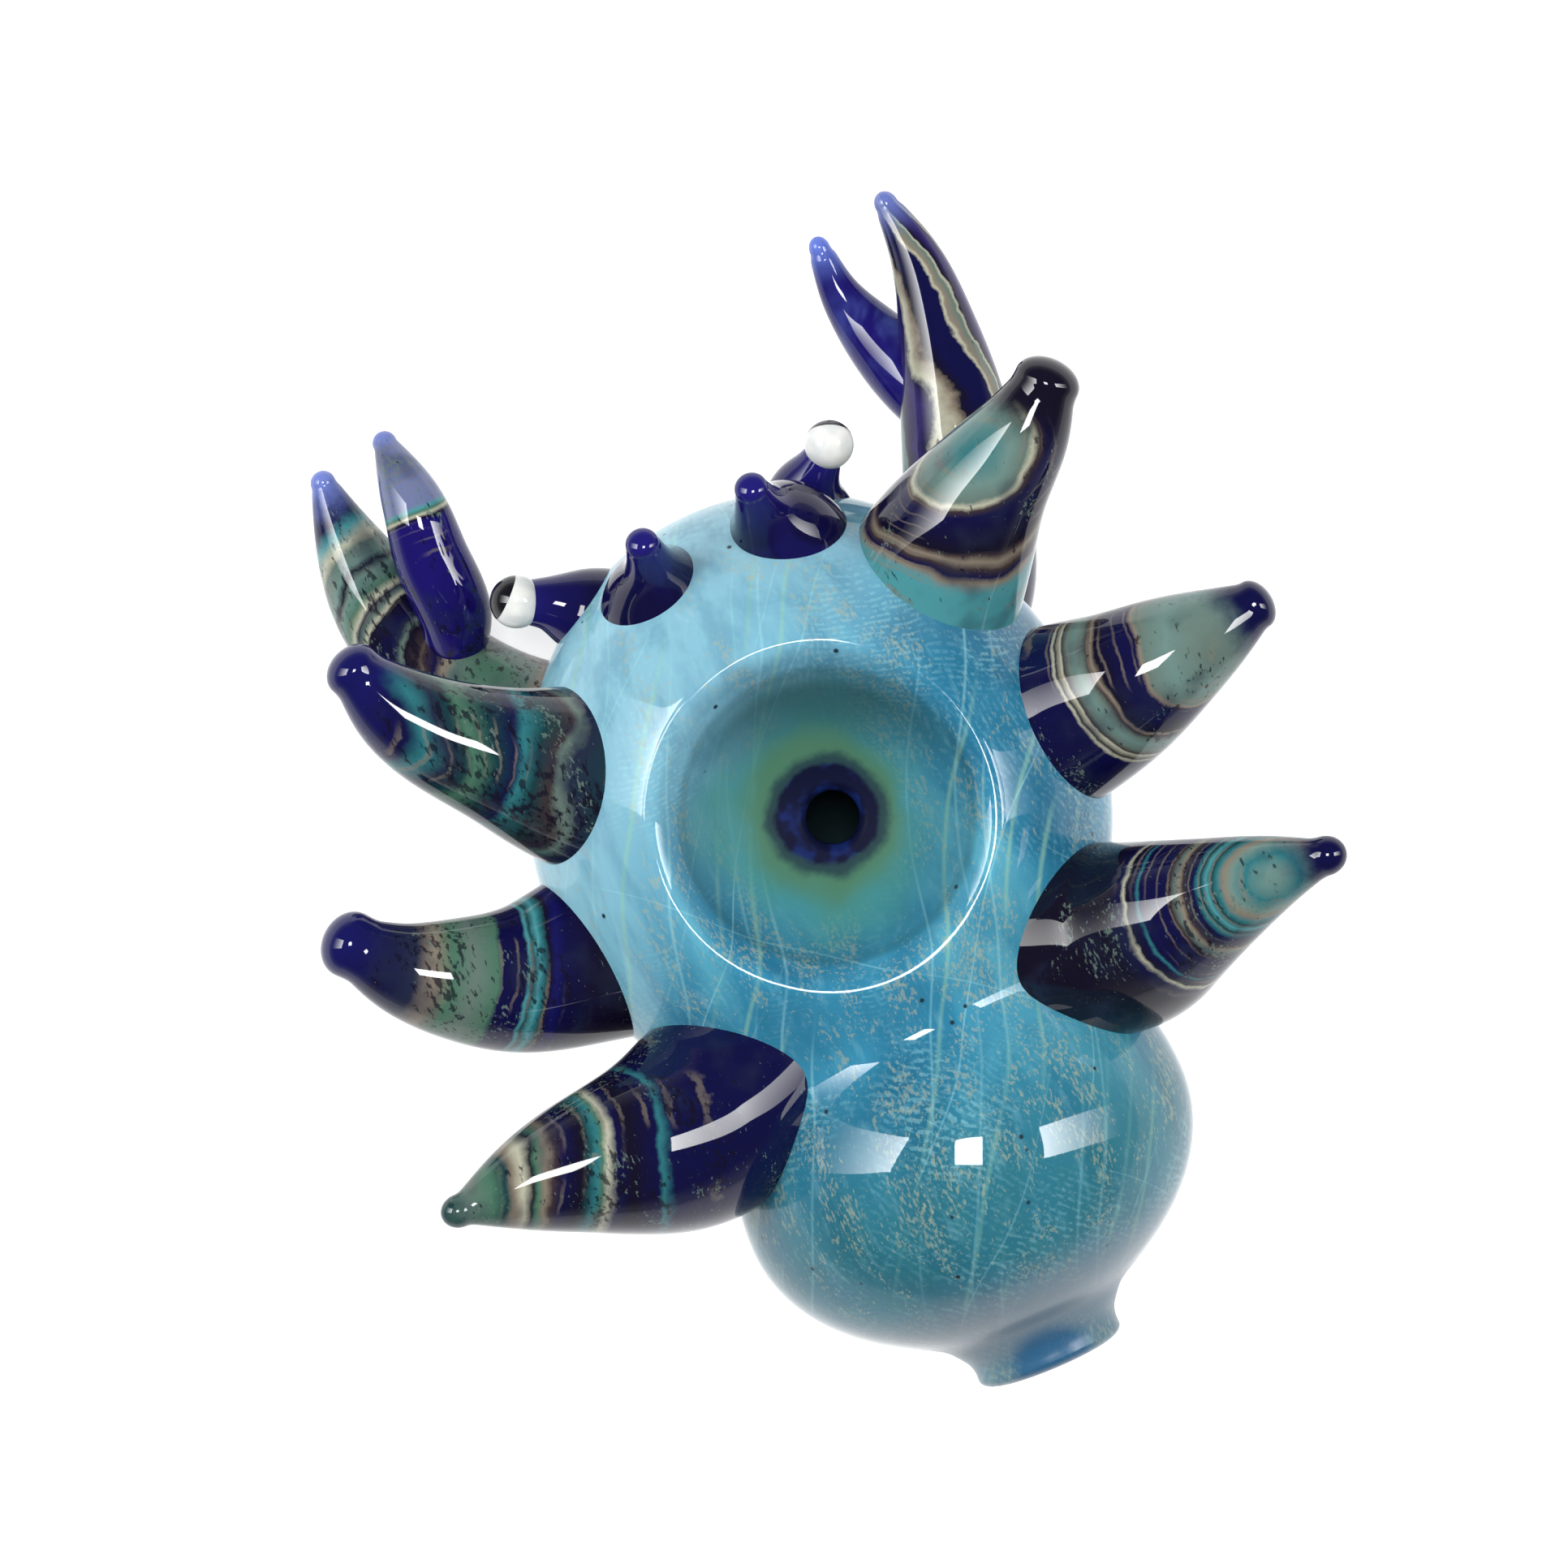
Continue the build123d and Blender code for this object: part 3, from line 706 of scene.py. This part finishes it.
def shellPiece(name, shape, rowPlaces, keep=None, nose=False):
    # outer skin, the same skin moved in by the wall, and a strip that joins their edges;
    # a nose is closed on the middle of its last ring
    points, normals = skinOf(shape, rowPlaces, ringAngles)
    rings, wall = toRow(points), s["wall"] * mm
    rows, ring = rings.shape[:2]
    outer, out = rings.reshape(-1, 3), normals.reshape(-1, 3)
    quads = ringQuads(rows, ring)[2].reshape(-1, 4)
    if keep is not None:
        quads = quads[keep(outer[quads].mean(axis=1))]
    inner = outer - out * wall
    inner[:, 2] = np.maximum(inner[:, 2], 2.0 * mm)
    shift = len(outer) + 1
    middle, ahead = rings[-1].mean(axis=0), unit(normals[-1].mean(axis=0))
    points = np.concatenate([outer, middle[None], inner, middle[None] - ahead * wall])
    out = np.concatenate([out, ahead[None]])
    sides = np.concatenate([quads[:, [0, 1]], quads[:, [1, 2]], quads[:, [2, 3]], quads[:, [3, 0]]])
    code = np.sort(sides, axis=1)
    _, first, seen = np.unique(code[:, 0] * shift + code[:, 1], return_index=True, return_counts=True)
    edges = sides[first[seen == 1]]
    faces, corners = [quads, quads[:, ::-1] + shift], [out[quads], -out[quads[:, ::-1]]]
    if nose:
        last = np.arange(ring) + (rows - 1) * ring
        fan = np.stack([last, np.roll(last, -1), np.full(ring, shift - 1)], axis=-1)
        faces += [fan, fan[:, ::-1] + shift]
        corners += [out[fan], -out[fan[:, ::-1]]]
        edges = edges[~(edges >= (rows - 1) * ring).all(axis=1)]
    strip = np.stack([edges[:, 1], edges[:, 0], edges[:, 0] + shift, edges[:, 1] + shift], axis=-1)
    a, b, d = points[strip[:, 0]], points[strip[:, 1]], points[strip[:, 3]]
    faces.append(strip)
    corners.append(np.repeat(unit(np.cross(b - a, d - a))[:, None], 4, axis=1))
    piece = meshPiece(name, points, faces, [corner.reshape(-1, 3) for corner in corners])
    inside = np.concatenate([np.full(len(group), (group >= shift).all()) for group in faces])
    piece.data.polygons.foreach_set("material_index", inside.astype(np.int32))
    return piece


def makeChamber():
    # y = noseLength * sin(t), so that the rings crowd together towards the nose
    t = np.linspace(math.asin(s["waist"] / s["noseLength"]), math.pi / 2 - 0.012, 196)

    def shape(u, v):
        return bodyPoint(u, s["noseLength"] * np.sin(v))

    def outsideDish(middle):
        far = np.hypot(middle[:, 0], middle[:, 1])
        return (far > s["dishOpening"] * mm) | (middle[:, 2] < restLevel)

    return shellPiece("chamberGlass", shape, t, outsideDish, nose=True)


def makeBulb():
    return shellPiece("bulbGlass", bodyPoint, np.linspace(s["neckJoint"], s["waist"], 110))


def neckPoint(angle, y):
    # the body's outline, swelling into the rolled lip
    swell = 1 + (s["lipWidth"] / s["neckWidth"] - 1) * smoothStep(-55.0, -57.0, y)
    return bodyPoint(angle, y) * np.stack([swell, np.ones_like(swell), swell], axis=-1)


def boreRing(y):
    x, z = s["bore"] * np.cos(ringAngles), -s["bore"] * np.sin(ringAngles)
    return np.stack([x, np.full(ringCount, y), z], axis=-1)


def borePatch(fromY, toY):
    # wall of the breathing bore, facing its axis
    inward = boreRing(0) / -s["bore"]
    points = toRow(np.stack([boreRing(fromY), boreRing(toY)]))
    return dict(points=points, normals=np.stack([inward, inward]))


def makeNeck():
    points, normals = skinOf(neckPoint, np.linspace(s["lipJoint"], s["neckJoint"], 40), ringAngles)
    return patchPiece("neckGlass", [
        dict(points=toRow(points), normals=normals),
        flatPatch(toRow(points[-1]), toRow(boreRing(s["neckJoint"]))),
        borePatch(s["neckJoint"], s["lipJoint"]),
        flatPatch(toRow(boreRing(s["lipJoint"])), toRow(points[0]))])


def makeLip():
    # half a turn of an oval carries the bore's edge round the mouth to the outside
    edge = s["mouth"] + 1.0
    outside, outsideNormals = skinOf(neckPoint, np.linspace(edge, s["lipJoint"], 16), ringAngles)
    turn = np.linspace(np.pi, 0, 25)[:, None, None]
    boreEdge, outerEdge = boreRing(edge), outside[0]
    middle, half = (boreEdge + outerEdge) / 2, (outerEdge - boreEdge) / 2
    ahead = np.array([0, 1.0, 0]) * np.sin(turn)
    width = np.linalg.norm(half, axis=1, keepdims=True)
    mouthNormals = unit(half / width * np.cos(turn) - ahead * width)
    mouthNormals[-1] = outsideNormals[0]
    return patchPiece("lipGlass", [
        borePatch(s["lipJoint"], edge),
        dict(points=toRow(middle + half * np.cos(turn) - ahead), normals=mouthNormals),
        dict(points=toRow(outside), normals=outsideNormals),
        flatPatch(toRow(outside[-1]), toRow(boreRing(s["lipJoint"])))])


def dishPoint(turn, r):
    # circles that drift over to the draw hole as they shrink; just proud of the chamber
    drift = smoothStep(12.5, s["ring"], r)
    x = r * np.cos(turn) + s["holeX"] * drift
    y = r * np.sin(turn) + s["holeY"] * drift
    lift = 0.06 * smoothStep(s["dishEdge"], s["dishEdge"] - 0.5, r) - 0.03
    return np.stack([x, y, softLower(topOfBody(x, y), dishProfile(r)) + lift], axis=-1)


def makeDish():
    # a top skin with a coarser skin below it and the two walls that join them
    points, normals = skinOf(dishPoint, np.linspace(s["dishEdge"], s["ring"], 133), dishAngles)
    top = toRow(points)
    below = top[::-4].copy()
    below[..., 2] -= 3.2 * mm
    return patchPiece("dishGlass", [
        dict(points=top, normals=-normals), flatPatch(top[-1], below[0]),
        dict(points=below, normals=normals[::-4]), flatPatch(below[-1], top[0])])


def makeHoleRing():
    # the dish floor runs on and rolls over into the draw hole, a quarter of a circle
    roll = 0.9
    flatRun = s["ring"] - s["hole"] - roll

    def shape(u, v):
        # v is the distance along the profile, from the ring's rim towards the hole
        bend = np.clip((v - flatRun) / roll, 0, np.pi / 2)
        down = np.maximum(v - flatRun - roll * np.pi / 2, 0)
        r = s["ring"] - np.minimum(v, flatRun) - roll * np.sin(bend)
        z = dishProfile(np.maximum(r, s["hole"])) + 0.03 - roll * (1 - np.cos(bend)) - down
        return np.stack([r * np.cos(u) + s["holeX"], r * np.sin(u) + s["holeY"], z], axis=-1)

    length = flatRun + roll * np.pi / 2 + 2.2
    points, normals = skinOf(shape, np.linspace(0, length, 41), dishAngles, 1e-4)
    normals[0] = -surfaceNormals(dishPoint, dishAngles, np.full(ringCount, s["ring"]))
    top = toRow(points)
    under = top[0] - np.array([0, 0, 3.3 * mm])
    hole = top[-1].copy()
    hole[:, 2] = np.minimum(hole[:, 2], under[:, 2].min())
    return patchPiece("holeRingGlass", [
        dict(points=top, normals=normals), flatPatch(top[-1], hole), flatPatch(hole, under),
        flatPatch(under, top[0])])


for shell, slotName, node in ((makeChamber(), "turquoise_glass", "chamber_shell"),
                              (makeBulb(), "sea_green_glass", "rear_bulb")):
    settle(shell, bodyGlass, slotName, node).data.materials.append(innerShadeGlass)
settle(makeNeck(), bodyGlass, "pale_neck_glass", "neck_tube")
settle(makeLip(), bodyGlass, "pale_neck_glass", "mouthpiece_lip")
dish = settle(makeDish(), bowlGlass, "bowl_glass", "bowl_dish")
dish.data.materials.append(bowlDull)
for face in dish.data.polygons:
    face.material_index = int(math.hypot(*face.center[:2]) < s["lipEdge"] * mm)
settle(makeHoleRing(), bowlDull, "cobalt_glass", "bowl_hole_ring")
print("body blown")


def limbSkin(rows, tipLength, tipBulge, ring=72, perMm=3):
    # a round section carried along a smooth line; past the last row the radius runs smoothly
    # to the gather's greatest width and then closes as a quarter oval
    rows = np.array(rows, float)
    chord = np.concatenate([[0], np.cumsum(np.linalg.norm(np.diff(rows[:, :3], axis=0), axis=1))])
    end = chord[-1]
    stem = np.linspace(0, end, int(end * perMm))
    line, radius = splineThrough(chord, rows[:, :3], stem), splineThrough(chord, rows[:, 3], stem)
    way = unit(line[-1] - line[-2])
    slope = (radius[-1] - radius[-2]) / (stem[-1] - stem[-2])
    neck = 0.42 * tipLength
    t = np.linspace(0, 1, 12)[1:]
    swell = radius[-1] * (2 * t ** 3 - 3 * t ** 2 + 1) + slope * neck * (t ** 3 - 2 * t ** 2 + t) \
        + tipBulge * (3 * t ** 2 - 2 * t ** 3)
    dome = np.linspace(0, np.pi / 2, 16)[1:]
    reach = np.concatenate([neck * t, neck + (tipLength - neck) * np.sin(dome)])
    radius = np.concatenate([radius, swell, tipBulge * np.cos(dome)])
    radius[-1] = 0
    seam = len(line) - 1
    line = np.concatenate([line, line[-1] + reach[:, None] * way])
    tangent = np.gradient(line, axis=0)
    tangent[seam + 1:] = way
    tangent = unit(tangent)
    level = unit(np.cross([0, 0, 1], tangent))
    rise = np.cross(tangent, level)
    angle = (np.linspace(0, 2 * np.pi, ring, endpoint=False) - np.pi / 2)[None, :, None]
    spoke = level[:, None] * np.cos(angle) + rise[:, None] * np.sin(angle)
    points = line[:, None] + radius[:, None, None] * spoke
    alongU = np.roll(points, -1, axis=1) - np.roll(points, 1, axis=1)
    normals = unit(np.cross(alongU, np.gradient(points, axis=0)))
    normals[-1] = way
    length = np.concatenate([stem, end + reach])
    return dict(points=toRow(points), normals=normals, length=length, seam=seam)


def limbPiece(name, skin, root, startRow=0, endRow=None):
    # one stretch of a limb, its cut ends closed flat; the root is the length hidden in the body
    length = skin["length"]
    along = (length - root) / (length[-1] - root)
    cutShort = endRow is not None
    stretch = slice(startRow, endRow + 1 if cutShort else len(length))
    points, normals, along = skin["points"][stretch], skin["normals"][stretch], along[stretch]
    first, last = points[0], points[-1]
    patches = [dict(points=points, normals=normals, along=along),
               flatPatch(first[::-1], first.mean(axis=0), along[0])]
    if cutShort:
        patches.append(flatPatch(last, last.mean(axis=0), along[-1]))
    return patchPiece(name, patches)


# rows hold x, y, height and radius in millimetres, from root to end; tip is the length and
# half width of the end gather
armRoot = 9.0
legShapes = {
    "front_left": dict(
        rows=[(-13, 8.5, 3, 10.5), (-22.3, 14.4, 8.5, 8.5), (-26.8, 18.1, 11, 6.7),
              (-30.9, 22, 12.5, 5.5), (-34, 26.4, 14, 4.2), (-35.3, 29.3, 15, 3.0)],
        tip=(3.6, 2.8), heart=(-40, 26, 22), span=(30, 4), bend=9.0, tipFrom=0.8, tipColour="cobalt",
        bands="0 deep, 9 slate, 13 grey, 16 brown, 24 deep, 33 teal, 38 navy, 50 deep, 62 green, 68 deep, "
              "76 slate, 84 teal, 90 navy, 100 cobalt"),
    "front_right": dict(
        rows=[(12, 10, 2, 10.5), (20, 18.1, 8.5, 8.8), (23.6, 21, 11.8, 7.6),
              (27.6, 23.8, 14.6, 6.0), (32.2, 26.8, 17.2, 4.5), (34.6, 28.9, 18.3, 3.4)],
        tip=(3.7, 3.2), heart=(25.5, 27.5, 20), span=(19, 1), bend=8.5, tipFrom=0.76, tipColour="ink",
        bands="0 sea, 12 sea, 18 tan, 22 navy, 27 brown, 33 tan, 38 brown, 41 ink, 70 navy, 75 brown, "
              "78 cream, 81 grey, 90 mist, 100 teal"),
    "middle_left": dict(
        rows=[(-16, -4, -1, 10.5), (-27.3, -3.6, 3, 8.5), (-33, -3, 5, 7.4),
              (-38.6, -0.6, 7.5, 6.1), (-43.6, 3.0, 9.3, 4.4), (-45.6, 5.2, 9.8, 3.4)],
        tip=(4.6, 3.3), heart=(-46, 4, 12), span=(25, 0), bend=3.0, tipFrom=0.82, tipColour="cobalt",
        bands="0 ink, 12 navy, 16 cobalt, 20 ink, 23.5 teal, 25 sea, 29 deep, 31 sea, 33 navy, 46 navy, "
              "49 green, 62 grey, 72 green, 80 tan, 88 slate, 100 navy"),
    "middle_right": dict(
        rows=[(16, 0, 1, 10.5), (27.4, 0.2, 8, 8.6), (31.4, 0.5, 10.8, 7.6),
              (36.6, 1.3, 12.8, 6.1), (42.3, 2.1, 14.2, 4.0), (44.8, 2.5, 14.6, 2.9)],
        tip=(2.9, 2.5), heart=(40.0, 2.6, 18.5), span=(18.5, 1), bend=9.0, tipFrom=0.8, tipColour="navy",
        bands="0 navy, 13 navy, 15 cream, 17 ink, 22 cream, 23.5 brown, 28 grey, 36 mist, 42 grey, "
              "47 brown, 50 tan, 53 ink, 66 navy, 76 navy, 78.5 tan, 81 grey, 92 mist, 100 grey"),
    "rear_left": dict(
        rows=[(-9, -16.5, 3, 8.6), (-23.5, -22.6, 9.5, 9.8), (-29, -22.3, 13.5, 8.3),
              (-34.6, -21.4, 16.3, 6.5), (-40.6, -20.8, 19.0, 4.2), (-44.8, -20.6, 21, 2.0)],
        tip=(3.2, 1.6), heart=(-62, -14, 30), span=(46, 14), bend=4.0, tipFrom=0.93, tipColour="deep",
        bands="0 navy, 12 navy, 15.5 teal, 17 navy, 27 ink, 33 navy, 37 cream, 39.5 green, 42 teal, "
              "46 deep, 49 ink, 56 navy, 60 brown, 63 tan, 66.5 green, 69 ink, 73 cream, 77 tan, 81 deep, "
              "87 green, 94 grey, 100 green"),
    "rear_right": dict(
        rows=[(10, -17, 3.5, 8.8), (22.8, -21.9, 10.5, 9.2), (26.4, -21.7, 14.2, 8.0),
              (31.9, -21.3, 18.2, 5.7), (37.4, -21.2, 21.6, 3.5), (40.5, -21.4, 23.3, 2.2)],
        tip=(3.6, 1.9), heart=(36.5, -21.0, 26), span=(18, 0), bend=3.5, tipFrom=0.84, tipColour="navy",
        bands="0 ink, 5 navy, 7 cream, 8.5 ink, 13 navy, 15 teal, 16.5 navy, 36 navy, 40 brown, 45 grey, "
              "48 tan, 51 brown, 55 slate, 60 navy, 64 teal, 67 deep, 71 sea, 75 deep, 79 teal, 83 tan, "
              "88 mist, 94 teal, 100 mist"),
}
for name, shape in legShapes.items():
    skin = limbSkin(shape["rows"], *shape["tip"])
    title = name.title().replace("_", "")
    look = {key: shape[key] for key in ("heart", "span", "bend", "tipFrom", "tipColour", "bands")}
    glass = makeBandedGlass("banded" + title, **look)
    leg = limbPiece("leg" + title, skin, armRoot, endRow=skin["seam"])
    settle(leg, glass, "banded_glass", "leg_" + name)
    tip = limbPiece("tip" + title, skin, armRoot, startRow=skin["seam"])
    settle(tip, glass, "cobalt_glass", "leg_tip_" + name)
print("legs pulled")

clawShapes = {
    "left": dict(tip=(2.2, 1.3), joint=4, rows=[
        (-12, 12, -5, 8.5), (-20.5, 17.5, -9, 7.4), (-24.7, 21.8, -10.5, 6.3),
        (-28.7, 27.3, -12, 5.7), (-32, 34.1, -12.5, 5.3), (-33, 40.7, -12, 4.4),
        (-33.2, 46.1, -11, 2.8), (-33.1, 49.6, -10.3, 1.6)]),
    "right": dict(tip=(2.4, 1.2), joint=4, rows=[
        (11, 9, -5, 8.5), (22.8, 17.2, -9, 7.4), (25.0, 21.4, -10, 6.7),
        (26.9, 27.4, -10, 6.0), (28.9, 35.5, -9.5, 5.0), (30.0, 41.3, -9, 3.9),
        (30.6, 48.6, -8.5, 2.5), (30.1, 53.0, -8.2, 1.5)]),
}
fingerShapes = {
    "left": dict(tip=(2.2, 1.25), rows=[
        (-28, 29.5, -10.5, 3.0), (-25.9, 33.0, -7.6, 3.7), (-25.8, 38.8, -6.5, 3.8),
        (-25.4, 43.0, -5.6, 3.4), (-25.4, 46.9, -6, 2.7), (-25.6, 50.6, -7, 1.5)]),
    "right": dict(tip=(2.4, 1.1), rows=[
        (27.8, 31, -10.3, 3.2), (26.1, 35.7, -11, 3.7), (24.8, 39.9, -12, 3.7),
        (23.4, 44.1, -12.5, 3.0), (22.4, 48, -12, 2.1), (22.2, 51.7, -11, 1.4)]),
}
for side, shape in clawShapes.items():
    skin = limbSkin(shape["rows"], *shape["tip"])
    rows = np.array(shape["rows"])[:shape["joint"] + 1, :3]
    reach = np.linalg.norm(np.diff(rows, axis=0), axis=1).sum()
    joint = int(np.argmin(np.abs(skin["length"] - reach)))
    arm = limbPiece("clawArm" + side.title(), skin, armRoot, endRow=joint)
    settle(arm, clawGlass[side], "striped_glass", "claw_arm_" + side)
    fixed = limbPiece("fixedFinger" + side.title(), skin, armRoot, startRow=joint)
    settle(fixed, clawGlass[side], "striped_glass", "claw_fixed_finger_" + side)
    skin = limbSkin(fingerShapes[side]["rows"], *fingerShapes[side]["tip"])
    free = limbPiece("freeFinger" + side.title(), skin, 3.0)
    settle(free, fingerGlass[side], "cobalt_glass", "claw_free_finger_" + side)
print("claws pulled")

stalkShapes = {
    "left": dict(ball=2.6, facing=(-0.68, 0.7, 0.22), rows=[
        (-7, 18, 0, 5.6), (-12.0, 26.4, 1.2, 5.0), (-14.9, 28.7, 2, 3.8),
        (-16.9, 30, 3, 2.6), (-18.2, 30.6, 3.5, 2.25)]),
    "right": dict(ball=2.4, facing=(0.35, 0.85, -0.4), rows=[
        (6.5, 18, 1, 5.6), (9.9, 26.8, 1.5, 5.3), (11.2, 30.1, 3.2, 3.8),
        (12.8, 31.6, 5.0, 2.4), (13.8, 32.4, 5.95, 1.9)]),
}
nubTip = (1.9, 1.6)
nubShapes = {
    "left": [
        (-6.4, 22.6, 5, 6.9), (-6.0, 26.6, 10.8, 5.1), (-5.8, 28.3, 13.6, 3.0), (-5.7, 30.4, 17.4, 1.75)],
    "right": [
        (6.8, 23.4, 5, 7.0), (6.9, 27.5, 11.0, 5.2), (6.2, 29.2, 13.8, 3.1), (5.9, 31.2, 17.4, 1.75)],
}


def ballPart(name, centre, facing, radius, fromTurn, toTurn, rows=40, ring=64):
    # rings of a ball from one angle off its facing direction to another, closed flat if cut
    facing = unit(np.array(facing))
    side = unit(np.cross(facing, [0, 0, 1]))
    up = np.cross(side, facing)
    turn = np.linspace(toTurn, fromTurn, rows)[:, None, None]
    angle = np.linspace(0, 2 * np.pi, ring, endpoint=False)[None, :, None]
    spoke = np.cos(turn) * facing + np.sin(turn) * (np.cos(angle) * side - np.sin(angle) * up)
    points = toRow(centre + radius * spoke)
    patches = [dict(points=points, normals=spoke)]
    if fromTurn > 0:
        patches.append(flatPatch(points[-1], points[-1].mean(axis=0)))
    if toTurn < np.pi:
        patches.append(flatPatch(points[0][::-1], points[0].mean(axis=0)))
    return patchPiece(name, patches)


for side, shape in stalkShapes.items():
    rows = np.array(shape["rows"])
    skin = limbSkin(shape["rows"], 1.2, rows[-1, 3])
    stalk = limbPiece("eyeStalk" + side.title(), skin, 6.0)
    settle(stalk, violetGlass, "violet_glass", "eye_stalk_" + side)
    way = unit(rows[-1, :3] - rows[-2, :3])
    radius = shape["ball"]
    centre = rows[-1, :3] + way * math.sqrt(radius ** 2 - rows[-1, 3] ** 2)
    cut = math.acos(0.45)
    ball = ballPart("eyeBall" + side.title(), centre, shape["facing"], radius, cut, np.pi)
    settle(ball, opalGlass, "opal_white_glass", "eye_ball_" + side)
    pupil = ballPart("pupil" + side.title(), centre, shape["facing"], radius * 1.01, 0, cut)
    settle(pupil, blackGlass, "black_glass", "eye_pupil_" + side)
    nub = limbPiece("browNub" + side.title(), limbSkin(nubShapes[side], *nubTip), 4.0)
    settle(nub, violetGlass, "violet_glass", "brow_nub_" + side)
print("eyes and brow set")
